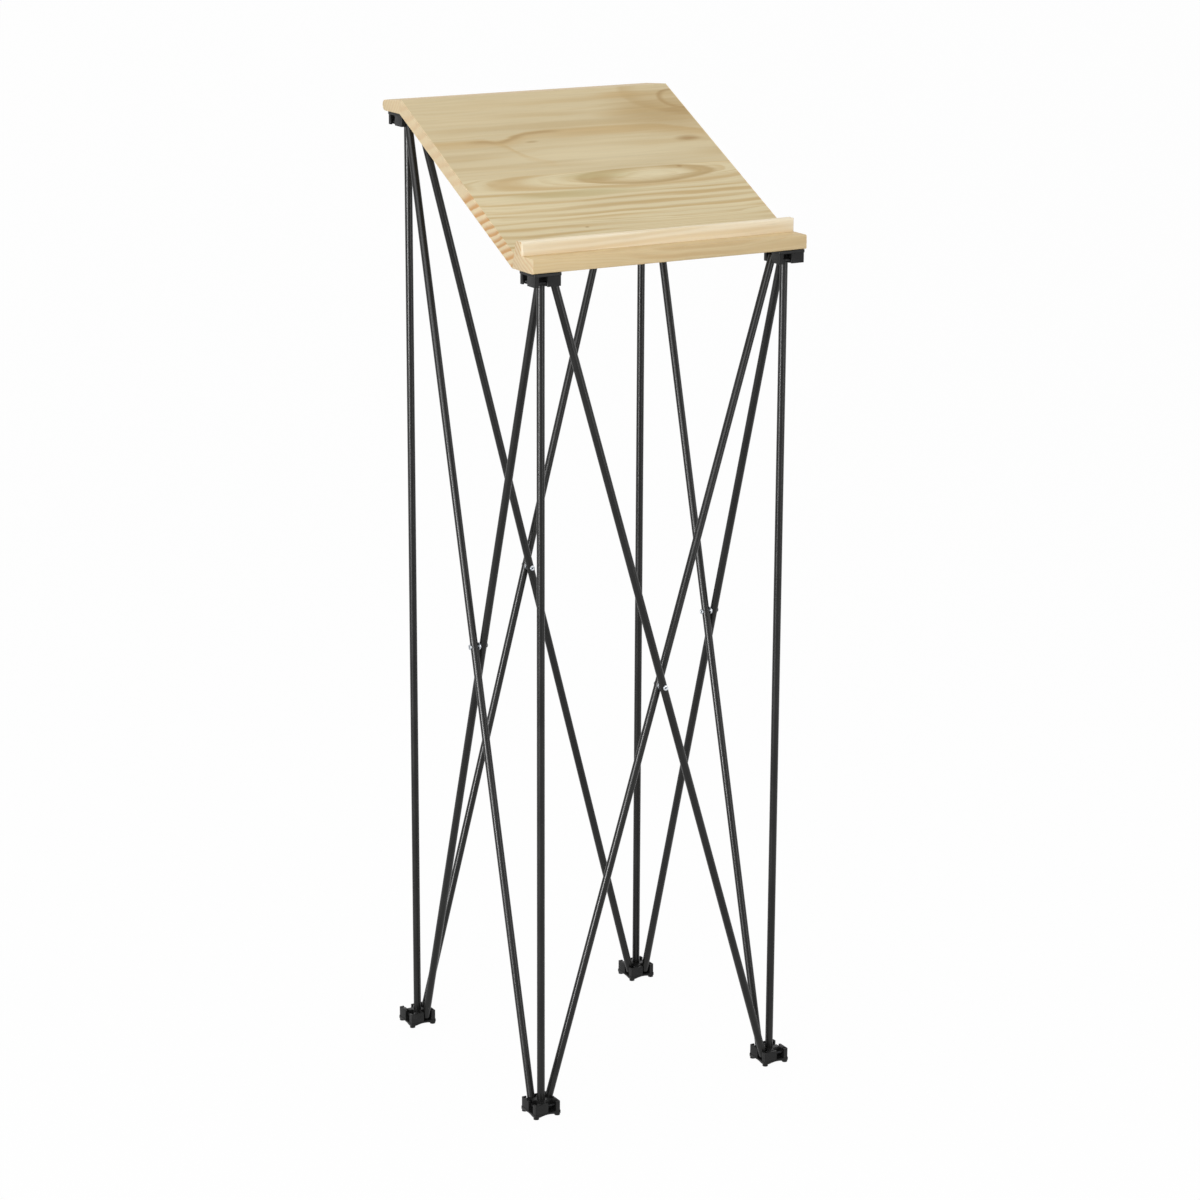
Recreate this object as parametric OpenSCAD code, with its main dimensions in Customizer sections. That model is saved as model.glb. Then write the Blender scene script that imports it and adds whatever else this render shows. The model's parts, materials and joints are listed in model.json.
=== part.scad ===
// Portable lectern: a slanted pine tray that lifts off a folding scissor frame of steel tubes.
// Millimetres, +Z up, the reader stands on the -Y side, origin on the floor under the middle of the box.
// The four legs stand at the corners of a square. Each side has two crossing rods, riveted where they
// cross and pinned to the hubs, so the four hubs of a level slide together when the frame folds.

/* [Frame] */
// Distance between the centre lines of neighbouring legs
leg_pitch = 330; // [280:1:400]
// Height of the underside of the front rail
front_seat_h = 1036; // [940:1:1100]
// Slope of the tray
slope = 27.2; // [20:0.1:35]

/* [Tubes] */
// Outer diameter of the leg tubes and the rods
tube_d = 9.5; // [9:0.1:10.5]
// Wall of the tubes
tube_wall = 1; // [0.8:0.1:1.2]
// Gap between two rods where they cross, which the washer fills
rod_gap = 2.5; // [2:0.1:3.5]
// How far a tube runs on past its pivot pin
tube_end = 2.8; // [2.5:0.1:3.2]
// Height of the domed cap on the end of a rod
cap_h = 3; // [2:0.1:3.2]
// Length of the plug inside the end of a rod
plug_l = 12; // [8:1:20]

/* [Hubs] */
// Width of a hub or foot, which is square
hub_w = 36; // [35.5:0.5:38]
// Height of a hub from the outer face of its base plate to the ends of its posts
hub_h = 15.5; // [15.2:0.1:20]
// Step from the rim of the base plate in to the posts
post_inset = 0.5; // [0.3:0.1:1.2]
// Thickness of the base plate
plate_t = 3.5; // [3.2:0.1:4]
// Thickness of the floor of the socket that the leg stands in
socket_floor = 5.5; // [4.5:0.1:6]
// Wall of that socket
socket_wall = 2; // [1.8:0.1:2.2]
// Height of the pivot pins above the outer face of the base plate
pivot_h = 10.9; // [10.7:0.1:11.5]
// Clearance on each side of a rod in its slot
slot_clear = 0.75; // [0.5:0.05:1]
// Clearance between the end of a rod and the socket wall
end_clear = 1.9; // [1.5:0.1:2.2]
// Height of the corner pads below a foot
pad_h = 2.5; // [2:0.1:3]
// Diameter of the corner pads
pad_d = 7; // [5:0.5:9]
// Flat left between a pad and the arch in the underside of a foot
pad_land = 0.5; // [0.3:0.1:2]
// Rise of that arch
arch_rise = 1.5; // [0.5:0.1:2]
// Radius of the upright corners of the hubs
hub_r = 1.6; // [0.8:0.1:2.5]

/* [Pins and rivets] */
// Diameter of the pivot pins
pin_d = 3; // [2.5:0.1:3.2]
// Skin of the hub left beyond the end of a pin
pin_skin = 1; // [0.8:0.1:1.5]
// Clearance of every close fit, on the radius: rods on their pins, legs in the feet, plugs in tubes
close_fit = 0.05; // [0.03:0.01:0.08]
// Clearance of a free pin in the groove that it rises out of, all round and at its ends
groove_clear = 0.6; // [0.5:0.05:0.8]
// Diameter of the rivets where the rods cross
rivet_d = 4; // [3:0.5:4.5]
// Diameter of a rivet's head
head_d = 6.5; // [6:0.5:9]
// Height of a rivet's head
head_h = 1.6; // [1:0.1:2.5]
// Diameter of the hollow in the end of a rivet
hollow_d = 2.5; // [1.5:0.1:2.6]
// Diameter of the washers between the rods
washer_d = 9; // [8:0.5:11]
// Gap left beside a rod that turns against a flat piece
turn_gap = 0.3; // [0.25:0.05:0.4]

/* [Leg guides] */
// Diameter of the guide rods that slide in the leg tubes
guide_d = 6; // [5:0.1:6.1]
// Length of a guide rod below its flange
guide_l = 80; // [70:1:120]
// Thickness of the flange that the leg tube stops against
flange_t = 3; // [2:0.5:4]
// Diameter of the spigot that holds a guide in its hub
spigot_d = 3; // [2.5:0.5:5]
// Clearance of the leg tube in the socket of the upper hub
leg_clear = 0.65; // [0.6:0.05:0.8]

/* [Magnets] */
// Diameter of the magnet in each upper hub
magnet_d = 12; // [8:0.5:14]
// Thickness of the magnet
magnet_t = 2.6; // [2:0.1:3]
// Diameter of the steel plate above each magnet
strike_d = 20; // [16:1:24]
// Thickness of the steel plate
strike_t = 1.5; // [1:0.1:2]
// Length of the screw that holds a steel plate
screw_l = 11; // [8:1:13]
// Diameter of that screw
screw_d = 3; // [2.5:0.5:4]

/* [Tray] */
// How far the tray reaches past the hubs on each side
tray_over = 2; // [0:0.5:30]
// Thickness of the boards
board_t = 17; // [15:0.5:20]
// Width of the top face of the front rail
rail_top = 44.5; // [42:0.5:60]
// Width of the underside of the lower board
lower_board_w = 150; // [100:1:180]
// Width of the back batten from front to back, along its top
batten_top = 50.5; // [46:0.5:60]
// Angle by which the top of the batten falls towards the back
batten_fall = 5; // [0:0.5:6]
// How far the batten's mitre ends ahead of the back hubs, which bear on its flat
batten_lead = 0.5; // [0.3:0.1:3]
// Radius of the back edges of the batten, as far as its thickness allows
back_r = 6; // [2:0.5:8]
// Radius of the front edges of the rail
front_r = 2; // [1:0.5:5]
// Height of the lip above the rail
lip_h = 16; // [12:0.5:30]
// Thickness of the lip at its foot
lip_foot = 18; // [15:0.5:20]
// Thickness of the lip along its top
lip_top = 12; // [8:0.5:14]
// How far the top of the lip's back face leans towards the reader
lip_lean = 5; // [0:0.5:6]
// Radius of the lip's top edges
lip_r = 2; // [1:0.5:3.5]
// Bevel on the upright front corners of the lip, at its foot
lip_bevel = 2.5; // [1:0.5:9]
// Diameter of the dowels that hold the lip
dowel_d = 6; // [5:0.5:8]
// Length of those dowels
dowel_l = 20; // [14:1:22]
// Number of dowels
dowel_count = 4; // [2:1:6]
// Distance from the ends of the tray to the first and the last dowel
dowel_margin = 45; // [30:1:80]
// Gap between the tray and the hubs that it rests on
seat_gap = 0.3; // [0.2:0.05:0.4]

/* [Hidden] */
$fn = 48;

black = [0.16, 0.16, 0.16];
steel = [0.75, 0.76, 0.78];
pine = [0.85, 0.74, 0.56];
eps = 0.01; // how far a cut runs past the face that it opens
arc_steps = 6; // straight pieces in each rounded corner of a board

// Levels in a hub are measured from the outer face of its base plate
flange_top = socket_floor + flange_t;
// The arch in the underside of a foot is part of a circle
arch_half = hub_w / 2 - pad_d - pad_land;
arch_r = (pow(arch_half, 2) + pow(arch_rise, 2)) / (2 * arch_rise);

// A rod stands beside the line between two legs, and its pin stands out from the middle of the hub
bore_d = tube_d - 2 * tube_wall;
rod_side = (tube_d + rod_gap) / 2;
socket_r = tube_d / 2 + socket_wall;
pivot_out = socket_r + end_clear + tube_d / 2;
slot_w = tube_d + 2 * slot_clear;
pin_seat = hub_w / 2 - post_inset - rod_side - slot_w / 2 - pin_skin;
pin_l = slot_w + 2 * pin_seat;
dome_r = (pow(tube_d / 2, 2) + pow(cap_h, 2)) / (2 * cap_h);

// The tray from the side. Both joints between level and slanted boards are mitres, which lean towards
// the reader by half of the slope
mitre = board_t * tan(slope / 2);
tray_w = leg_pitch + hub_w + 2 * tray_over;
tray_front = -(leg_pitch + hub_w) / 2;
rail_apex = tray_front + rail_top;
batten_apex = (leg_pitch - hub_w) / 2 - batten_lead - mitre;
tray_back = batten_apex + batten_top;
board_run = (batten_apex - rail_apex) / cos(slope);
back_seat_h = front_seat_h + board_run * sin(slope);
back_t = board_t - batten_top * tan(batten_fall); // thickness of the batten at its back
// The frame is moved so that the origin lies under the middle of the whole box
middle_y = -(tray_front + tray_back) / 2;

// The corners, as the reader sees them
front_left = [-1, -1];
front_right = [1, -1];
back_left = [-1, 1];
back_right = [1, 1];

// A hub has four slots, numbered 0 to 3 for its sides towards +X, +Y, -X and -Y. The slots lie off
// centre like the vanes of a pinwheel. A foot is the same moulding the other way up, on corner pads.
function seat(corner) = (corner.y < 0 ? front_seat_h : back_seat_h) - seat_gap;
function leg_axis(corner) = [corner.x * leg_pitch / 2, corner.y * leg_pitch / 2 + middle_y, 0];
function foot_pivot(corner, side) = leg_axis(corner)
    + [pivot_out * cos(90 * side) - rod_side * sin(90 * side),
       pivot_out * sin(90 * side) + rod_side * cos(90 * side), pad_h + pivot_h];
function hub_pivot(corner, side) = leg_axis(corner)
    + [pivot_out * cos(90 * side) + rod_side * sin(90 * side),
       pivot_out * sin(90 * side) - rod_side * cos(90 * side), seat(corner) - pivot_h];

// Each rod as its lower and its upper pivot
left_outer = [foot_pivot(front_left, 1), hub_pivot(back_left, 3)];
left_inner = [foot_pivot(back_left, 3), hub_pivot(front_left, 1)];
front_outer = [foot_pivot(front_right, 2), hub_pivot(front_left, 0)];
front_inner = [foot_pivot(front_left, 0), hub_pivot(front_right, 2)];
right_outer = [foot_pivot(back_right, 3), hub_pivot(front_right, 1)];
right_inner = [foot_pivot(front_right, 1), hub_pivot(back_right, 3)];
back_outer = [foot_pivot(back_left, 0), hub_pivot(back_right, 2)];
back_inner = [foot_pivot(back_right, 2), hub_pivot(back_left, 0)];

function rod_length(rod) = norm(rod[1] - rod[0]);
function rise(rod) = rod[1].z - rod[0].z;
function leans_sideways(rod) = abs(rod[1].x - rod[0].x) > abs(rod[1].y - rod[0].y);
// How far along a rod it crosses the other rod of its side, from similar triangles
function crossing_along(rod, other) = rod_length(rod) * rise(other) / (rise(rod) + rise(other));
// Which way the other rod lies, along the pins
function side_of_other(rod, other) = sign(leans_sideways(rod) ? other[0].y - rod[0].y
                                                              : other[0].x - rod[0].x);

// Outline whose corners are rounded. Each corner is a point and its radius, and 0 keeps it sharp
function outline(corners) = [for (i = [0 : len(corners) - 1])
    each corner_arc(corners[(i + len(corners) - 1) % len(corners)], corners[i],
                    corners[(i + 1) % len(corners)])];
function flat_of(v) = [v.x, v.y];
function unit(v) = v / norm(v);
function turned(v, a) = [v.x * cos(a) - v.y * sin(a), v.x * sin(a) + v.y * cos(a)];
function corner_arc(before, here, after) = here.z == 0 ? [flat_of(here)] :
    let (to_before = unit(flat_of(before - here)),
         to_after = unit(flat_of(after - here)),
         half = acos(to_before * to_after) / 2,
         centre = flat_of(here) + unit(to_before + to_after) * here.z / sin(half),
         first = flat_of(here) + to_before * here.z / tan(half) - centre,
         last = flat_of(here) + to_after * here.z / tan(half) - centre,
         sweep = atan2(cross(first, last), first * last))
    [for (i = [0 : arc_steps]) centre + turned(first, sweep * i / arc_steps)];

// Places its children on a rod's lower pivot, with +Z along the rod and +X along the pins
module on_rod(rod) {
    lean = rod[1] - rod[0];
    translate(rod[0])
        rotate([-atan2(lean.y, lean.z), atan2(lean.x, lean.z), 0])
            rotate([0, 0, leans_sideways(rod) ? 90 : 0])
                children();
}

// A round bar along X, centred
module cross_bar(d, l) {
    rotate([0, 90, 0]) cylinder(d = d, h = l, center = true);
}

module rounded_square(w, r, h) {
    for (x = [-1, 1], y = [-1, 1]) {
        translate([x * (w / 2 - r), y * (w / 2 - r), 0]) cylinder(r = r, h = h);
    }
    translate([-w / 2 + r, -w / 2, 0]) cube([w - 2 * r, w, h]);
    translate([-w / 2, -w / 2 + r, 0]) cube([w, w - 2 * r, h]);
}

// One slot of a hub, open at the side and at the ends of the posts, with the groove of its pin
module slot_cut(groove_d) {
    translate([socket_r, rod_side - slot_w / 2, plate_t]) cube([hub_w, slot_w, hub_h]);
    translate([pivot_out, rod_side, pivot_h]) rotate([0, 0, 90]) cross_bar(groove_d, pin_l);
    translate([pivot_out - groove_d / 2, rod_side - pin_l / 2, pivot_h]) cube([groove_d, pin_l, hub_h]);
}

// The moulding of the feet and the upper hubs, lying on its base plate with its posts up
module hub_moulding(socket_d, free_side) {
    difference() {
        union() {
            rounded_square(hub_w, hub_r, plate_t);
            rounded_square(hub_w - 2 * post_inset, hub_r, hub_h);
        }
        for (side = [0 : 3]) rotate([0, 0, 90 * side]) {
            slot_cut(side == free_side ? pin_d + 2 * groove_clear : pin_d + close_fit);
        }
        translate([0, 0, socket_floor]) cylinder(d = socket_d, h = hub_h);
    }
}

// Turns its children into the foot of a corner, on its pads
module in_foot(corner) {
    translate(leg_axis(corner) + [0, 0, pad_h]) children();
}

// Turns its children upside down into the upper hub of a corner
module in_hub(corner) {
    translate(leg_axis(corner) + [0, 0, seat(corner)]) rotate([180, 0, 0]) children();
}

// The arch runs from side to side both ways, between the four corner pads
module foot(corner, free_side) {
    color(black) in_foot(corner) union() {
        difference() {
            hub_moulding(tube_d + 2 * close_fit, free_side);
            translate([0, 0, arch_rise - arch_r]) cross_bar(2 * arch_r, 2 * hub_w);
            translate([0, 0, arch_rise - arch_r]) rotate([0, 0, 90]) cross_bar(2 * arch_r, 2 * hub_w);
        }
        for (x = [-1, 1], y = [-1, 1]) {
            translate([x * (hub_w - pad_d) / 2, y * (hub_w - pad_d) / 2, -pad_h])
                cylinder(d = pad_d, h = pad_h + plate_t / 2);
        }
    }
}

// An upper hub has a pocket for its magnet and a hole for the spigot of the leg guide
module hub(corner, free_side) {
    color(black) in_hub(corner) difference() {
        hub_moulding(tube_d + 2 * leg_clear, free_side);
        translate([0, 0, -eps]) cylinder(d = magnet_d + 2 * close_fit, h = magnet_t + eps);
        cylinder(d = spigot_d + 2 * close_fit, h = hub_h);
    }
}

// The leg tube stands in the foot and stops just short of the flange in the upper hub
module leg(corner) {
    leg_l = seat(corner) - flange_top - seat_gap - socket_floor - pad_h;
    color(black) in_foot(corner) translate([0, 0, socket_floor]) difference() {
        cylinder(d = tube_d, h = leg_l);
        translate([0, 0, -eps]) cylinder(d = bore_d, h = leg_l + 2 * eps);
    }
}

// The pivot pins that stay in the grooves of a hub
module pin_set(free_side) {
    for (side = [0 : 3]) {
        if (side != free_side) rotate([0, 0, 90 * side]) translate([pivot_out, rod_side, pivot_h])
            rotate([0, 0, 90]) cross_bar(pin_d, pin_l - 2 * close_fit);
    }
}

module foot_pins(corner, free_side) {
    color(steel) in_foot(corner) pin_set(free_side);
}

module hub_pins(corner, free_side) {
    color(steel) in_hub(corner) pin_set(free_side);
}

// Turned guide: a spigot down to the magnet, a flange for the leg to stop on and a rod inside the leg
module guide(corner) {
    color(steel) in_hub(corner) {
        translate([0, 0, magnet_t]) cylinder(d = spigot_d, h = socket_floor - magnet_t + eps);
        translate([0, 0, socket_floor]) cylinder(d = tube_d, h = flange_t);
        translate([0, 0, socket_floor]) cylinder(d = guide_d, h = flange_t + guide_l);
    }
}

// The magnet's face is level with the base plate
module magnet(corner) {
    color(steel) in_hub(corner) cylinder(d = magnet_d, h = magnet_t);
}

// A rod tube with the bores for its two pivot pins and for the rivet where it crosses the other rod
module rod(rod, other) {
    l = rod_length(rod);
    color(black) on_rod(rod) difference() {
        translate([0, 0, -tube_end]) cylinder(d = tube_d, h = l + 2 * tube_end);
        translate([0, 0, -tube_end - eps]) cylinder(d = bore_d, h = l + 2 * tube_end + 2 * eps);
        for (z = [0, l]) {
            translate([0, 0, z]) cross_bar(pin_d + 2 * close_fit, 2 * tube_d);
        }
        translate([0, 0, crossing_along(rod, other)]) cross_bar(rivet_d + 2 * close_fit, 2 * tube_d);
    }
}

// A domed cap with its plug, drawn round the pivot pin of a rod's lower end
module cap() {
    difference() {
        union() {
            translate([0, 0, -tube_end - eps]) cylinder(d = bore_d - 2 * close_fit, h = plug_l);
            intersection() {
                translate([0, 0, dome_r - tube_end - cap_h]) sphere(r = dome_r);
                translate([0, 0, -tube_end - cap_h]) cylinder(d = tube_d, h = cap_h);
            }
        }
        cross_bar(pin_d + 2 * close_fit, 2 * tube_d);
    }
}

module caps(rod) {
    color(black) on_rod(rod) {
        cap();
        translate([0, 0, rod_length(rod)]) rotate([180, 0, 0]) cap();
    }
}

// Pins that travel with the ends of a rod, where the groove of the hub lets them rise
module free_pins(rod, ends) {
    color(steel) on_rod(rod) for (end = ends) {
        translate([0, 0, end * rod_length(rod)]) cross_bar(pin_d, pin_l - 2 * groove_clear);
    }
}

// A rivet through both rods of a crossing. The first rod carries it, with the washer that parts the
// rods, and the other one turns on it. Its hollow end looks towards -X or -Y and its head the other way
module rivet(rod, other) {
    way = side_of_other(rod, other);
    spread = 2 * rod_side;
    low = -tube_d / 2 - (way < 0 ? spread + turn_gap : 0);
    high = tube_d / 2 + (way > 0 ? spread + turn_gap : 0);
    round_r = (pow(head_d / 2, 2) + pow(head_h, 2)) / (2 * head_h);
    color(steel) on_rod(rod) translate([0, 0, crossing_along(rod, other)]) rotate([0, 90, 0]) {
        difference() {
            union() {
                translate([0, 0, low - head_h]) cylinder(d = rivet_d, h = high - low + head_h + eps);
                translate([0, 0, low - head_h]) cylinder(d = head_d, h = head_h);
                intersection() {
                    translate([0, 0, high + head_h - round_r]) sphere(r = round_r);
                    translate([0, 0, high]) cylinder(d = head_d, h = head_h);
                }
            }
            translate([0, 0, low - head_h - eps]) cylinder(d = hollow_d, h = 2 * head_h);
        }
        rotate([way < 0 ? 180 : 0, 0, 0]) translate([0, 0, tube_d / 2]) difference() {
            cylinder(d = washer_d, h = rod_gap - turn_gap);
            translate([0, 0, -eps]) cylinder(d = rivet_d + 2 * close_fit, h = rod_gap);
        }
    }
}

// Extrudes a shape drawn from the side, with y across the tray and z up from the rail's underside
module across_tray() {
    color(pine) translate([0, middle_y, front_seat_h]) rotate([90, 0, 90])
        linear_extrude(height = tray_w, center = true) children();
}

// A point on the underside of the slanted boards, and the point above it on their top face
function under(run) = [rail_apex + mitre, 0] + run * [cos(slope), sin(slope)];
function above(run) = under(run) + board_t * [-sin(slope), cos(slope)];

// Recesses above the hubs of one row for the steel plates, with pilot holes for their screws
module strike_recesses(corners) {
    for (corner = corners) translate(leg_axis(corner) + [0, 0, seat(corner) + seat_gap]) {
        translate([0, 0, -eps]) cylinder(d = strike_d + 2 * close_fit, h = strike_t + eps);
        cylinder(d = screw_d, h = screw_l);
    }
}

module dowel_places() {
    span = tray_w - 2 * dowel_margin;
    for (i = [0 : dowel_count - 1]) {
        translate([i * span / (dowel_count - 1) - span / 2, middle_y + rail_apex - lip_foot / 2,
                   front_seat_h + board_t]) children();
    }
}

module dowel_holes() {
    dowel_places() cylinder(d = dowel_d, h = dowel_l, center = true);
}

module front_rail() {
    color(pine) difference() {
        across_tray() polygon(outline([
            [tray_front, 0, front_r], [rail_apex + mitre, 0, 0],
            [rail_apex, board_t, 0], [tray_front, board_t, front_r]]));
        strike_recesses([front_left, front_right]);
        dowel_holes();
    }
}

module lower_board() {
    across_tray() polygon([under(0), under(lower_board_w), above(lower_board_w), [rail_apex, board_t]]);
}

module upper_board() {
    across_tray() polygon([under(lower_board_w), under(board_run),
        [batten_apex, back_seat_h - front_seat_h + board_t], above(lower_board_w)]);
}

module back_batten() {
    underside = back_seat_h - front_seat_h;
    round_r = min(back_r, back_t / 2 - eps);
    color(pine) difference() {
        across_tray() polygon(outline([
            [batten_apex + mitre, underside, 0], [tray_back, underside, round_r],
            [tray_back, underside + back_t, round_r], [batten_apex, underside + board_t, 0]]));
        strike_recesses([back_left, back_right]);
    }
}

// The lip stands on the rail with its back at the foot of the slanted board
module lip() {
    lip_back = rail_apex;
    color(pine) difference() {
        across_tray() polygon(outline([
            [lip_back - lip_foot, board_t, 0], [lip_back, board_t, 0],
            [lip_back - lip_lean, board_t + lip_h, lip_r],
            [lip_back - lip_lean - lip_top, board_t + lip_h, lip_r]]));
        for (end = [-1, 1]) {
            translate([end * tray_w / 2, middle_y + lip_back - lip_foot, front_seat_h]) rotate([0, 0, 45])
                cube([lip_bevel * sqrt(2), lip_bevel * sqrt(2), 2 * (board_t + lip_h)], center = true);
        }
        dowel_holes();
    }
}

module lip_dowels() {
    color(pine) dowel_holes();
}

// Steel plates set flush into the underside of the tray, each with its countersunk screw
module strike_plates() {
    color(steel) for (corner = [front_left, front_right, back_left, back_right]) {
        translate(leg_axis(corner) + [0, 0, seat(corner) + seat_gap]) difference() {
            cylinder(d = strike_d, h = strike_t);
            translate([0, 0, -eps]) cylinder(d = screw_d + 2 * close_fit, h = strike_t + 2 * eps);
            countersink(close_fit);
        }
    }
}

module countersink(clear) {
    translate([0, 0, -eps])
        cylinder(d1 = 2 * (screw_d + clear), d2 = screw_d + 2 * clear, h = screw_d / 2 + eps);
}

module plate_screws() {
    color(steel) for (corner = [front_left, front_right, back_left, back_right]) {
        translate(leg_axis(corner) + [0, 0, seat(corner) + seat_gap]) {
            cylinder(d1 = 2 * screw_d, d2 = screw_d, h = screw_d / 2);
            cylinder(d = screw_d, h = screw_l);
        }
    }
}

foot(front_left, 1);  // foot_front_left
foot(front_right, 1);  // foot_front_right
foot(back_left, 0);  // foot_back_left
foot(back_right, 2);  // foot_back_right
leg(front_left);  // leg_front_left
leg(front_right);  // leg_front_right
leg(back_left);  // leg_back_left
leg(back_right);  // leg_back_right
foot_pins(front_left, 1);  // foot_pins_front_left
foot_pins(front_right, 1);  // foot_pins_front_right
foot_pins(back_left, 0);  // foot_pins_back_left
foot_pins(back_right, 2);  // foot_pins_back_right
hub(front_left, -1);  // hub_front_left
hub(front_right, -1);  // hub_front_right
hub(back_left, -1);  // hub_back_left
hub(back_right, 2);  // hub_back_right
hub_pins(front_left, -1);  // hub_pins_front_left
hub_pins(front_right, -1);  // hub_pins_front_right
hub_pins(back_left, -1);  // hub_pins_back_left
hub_pins(back_right, 2);  // hub_pins_back_right
guide(front_left);  // guide_front_left
guide(front_right);  // guide_front_right
guide(back_left);  // guide_back_left
guide(back_right);  // guide_back_right
magnet(front_left);  // magnet_front_left
magnet(front_right);  // magnet_front_right
magnet(back_left);  // magnet_back_left
magnet(back_right);  // magnet_back_right
rod(left_outer, left_inner);  // rod_left_outer
rod(left_inner, left_outer);  // rod_left_inner
rod(front_outer, front_inner);  // rod_front_outer
rod(front_inner, front_outer);  // rod_front_inner
rod(right_outer, right_inner);  // rod_right_outer
rod(right_inner, right_outer);  // rod_right_inner
rod(back_outer, back_inner);  // rod_back_outer
rod(back_inner, back_outer);  // rod_back_inner
caps(left_outer);  // caps_left_outer
caps(left_inner);  // caps_left_inner
caps(front_outer);  // caps_front_outer
caps(front_inner);  // caps_front_inner
caps(right_outer);  // caps_right_outer
caps(right_inner);  // caps_right_inner
caps(back_outer);  // caps_back_outer
caps(back_inner);  // caps_back_inner
free_pins(left_outer, [0]);  // free_pin_left_outer
free_pins(right_inner, [0]);  // free_pin_right_inner
free_pins(back_inner, [0]);  // free_pin_back_inner
free_pins(back_outer, [0, 1]);  // free_pins_back_outer
rivet(left_inner, left_outer);  // rivet_left
rivet(front_outer, front_inner);  // rivet_front
rivet(right_outer, right_inner);  // rivet_right
rivet(back_inner, back_outer);  // rivet_back
upper_board();
lower_board();
front_rail();
back_batten();
lip();
lip_dowels();
strike_plates();
plate_screws();
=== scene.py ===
import json
import math
import bmesh
import bpy
from mathutils import Matrix, Vector

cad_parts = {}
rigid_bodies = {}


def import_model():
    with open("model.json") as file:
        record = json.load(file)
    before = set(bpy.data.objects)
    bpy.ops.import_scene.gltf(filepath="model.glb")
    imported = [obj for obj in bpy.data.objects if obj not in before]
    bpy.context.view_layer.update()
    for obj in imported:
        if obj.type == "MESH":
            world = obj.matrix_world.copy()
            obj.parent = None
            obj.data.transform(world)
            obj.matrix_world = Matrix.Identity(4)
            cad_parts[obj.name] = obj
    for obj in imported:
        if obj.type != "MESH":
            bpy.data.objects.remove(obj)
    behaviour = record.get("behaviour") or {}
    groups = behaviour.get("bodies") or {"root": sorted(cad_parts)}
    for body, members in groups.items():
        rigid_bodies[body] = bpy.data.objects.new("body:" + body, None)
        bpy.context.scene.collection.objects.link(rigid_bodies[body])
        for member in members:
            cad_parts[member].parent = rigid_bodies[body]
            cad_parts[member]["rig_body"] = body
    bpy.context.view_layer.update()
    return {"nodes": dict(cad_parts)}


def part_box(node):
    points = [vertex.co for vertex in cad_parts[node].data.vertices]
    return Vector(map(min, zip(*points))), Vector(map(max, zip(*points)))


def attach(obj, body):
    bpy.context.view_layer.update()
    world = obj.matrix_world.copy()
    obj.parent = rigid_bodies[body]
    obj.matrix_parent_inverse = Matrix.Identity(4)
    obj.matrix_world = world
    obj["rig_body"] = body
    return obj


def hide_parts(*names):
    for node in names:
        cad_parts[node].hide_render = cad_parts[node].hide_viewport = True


# Portable lectern: a pine tray that lifts off a folding frame of thin black tubes
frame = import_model()
scene = bpy.context.scene
mm = 0.001
corners = ("front_left", "front_right", "back_left", "back_right")


# Colours are written as a picture editor shows them, and a shader takes them linear
def linear(hexColour):
    channels = [int(hexColour[i:i + 2], 16) / 255 for i in (1, 3, 5)]
    return tuple(c / 12.92 if c <= 0.04045 else ((c + 0.055) / 1.055) ** 2.4 for c in channels) + (1.0,)


# Each setting goes to the input socket of its name, or else to the node itself
def addNode(tree, kind, settings=None, links=None):
    node = tree.nodes.new(kind)
    for name, value in (settings or {}).items():
        if name in node.inputs:
            node.inputs[name].default_value = value
        else:
            setattr(node, name, value)
    for name, source in (links or {}).items():
        tree.links.new(source, node.inputs[name])
    return node


# A material with nothing in it but its shader, joined to its output
def startMaterial(name):
    material = bpy.data.materials.new(name)
    material.use_nodes = True
    tree = material.node_tree
    tree.nodes.clear()
    shader = addNode(tree, "ShaderNodeBsdfPrincipled")
    addNode(tree, "ShaderNodeOutputMaterial", links={"Surface": shader.outputs["BSDF"]})
    return material, tree, shader


def objectCoordinates(tree):
    return addNode(tree, "ShaderNodeTexCoord").outputs["Object"]


# A socket takes a number or colour as it is, and anything else as a link
def feed(tree, socket, value):
    if isinstance(value, (int, float, tuple)):
        socket.default_value = value
    else:
        tree.links.new(value, socket)


# Helpers for small sums in a material's tree
def maths(tree, operation, *values):
    node = addNode(tree, "ShaderNodeMath", {"operation": operation})
    for socket, value in zip(node.inputs, values):
        feed(tree, socket, value)
    return node.outputs[0]


def placed(tree, vector, scale=(1, 1, 1), location=(0, 0, 0)):
    settings = {"Scale": scale, "Location": location}
    return addNode(tree, "ShaderNodeMapping", settings, {"Vector": vector}).outputs[0]


def noise(tree, vector, scale, detail=2.0, roughness=0.5):
    settings = {"Scale": scale, "Detail": detail, "Roughness": roughness}
    return addNode(tree, "ShaderNodeTexNoise", settings, {"Vector": vector}).outputs["Fac"]


def ranged(tree, value, low, high, toLow=0.0, toHigh=1.0, kind="SMOOTHSTEP"):
    settings = {"interpolation_type": kind, "From Min": low, "From Max": high,
                "To Min": toLow, "To Max": toHigh}
    return addNode(tree, "ShaderNodeMapRange", settings, {"Value": value}).outputs[0]


# A Mix node's colours are its inputs 6 and 7 and its output 2
def mixed(tree, factor, first, second, blend="MIX"):
    node = addNode(tree, "ShaderNodeMix", {"data_type": "RGBA", "blend_type": blend})
    for index, value in ((0, factor), (6, first), (7, second)):
        feed(tree, node.inputs[index], value)
    return node.outputs[2]


# A line that rises from low to full and falls from ebb to high
def lineOf(tree, value, low, full, ebb, high):
    return maths(tree, "MULTIPLY", ranged(tree, value, low, full), ranged(tree, value, high, ebb))


# A value moved either way by a noise, which swings about one half
def swayed(tree, value, pattern, amount):
    return maths(tree, "MULTIPLY_ADD", maths(tree, "SUBTRACT", pattern, 0.5), amount, value)


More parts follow.
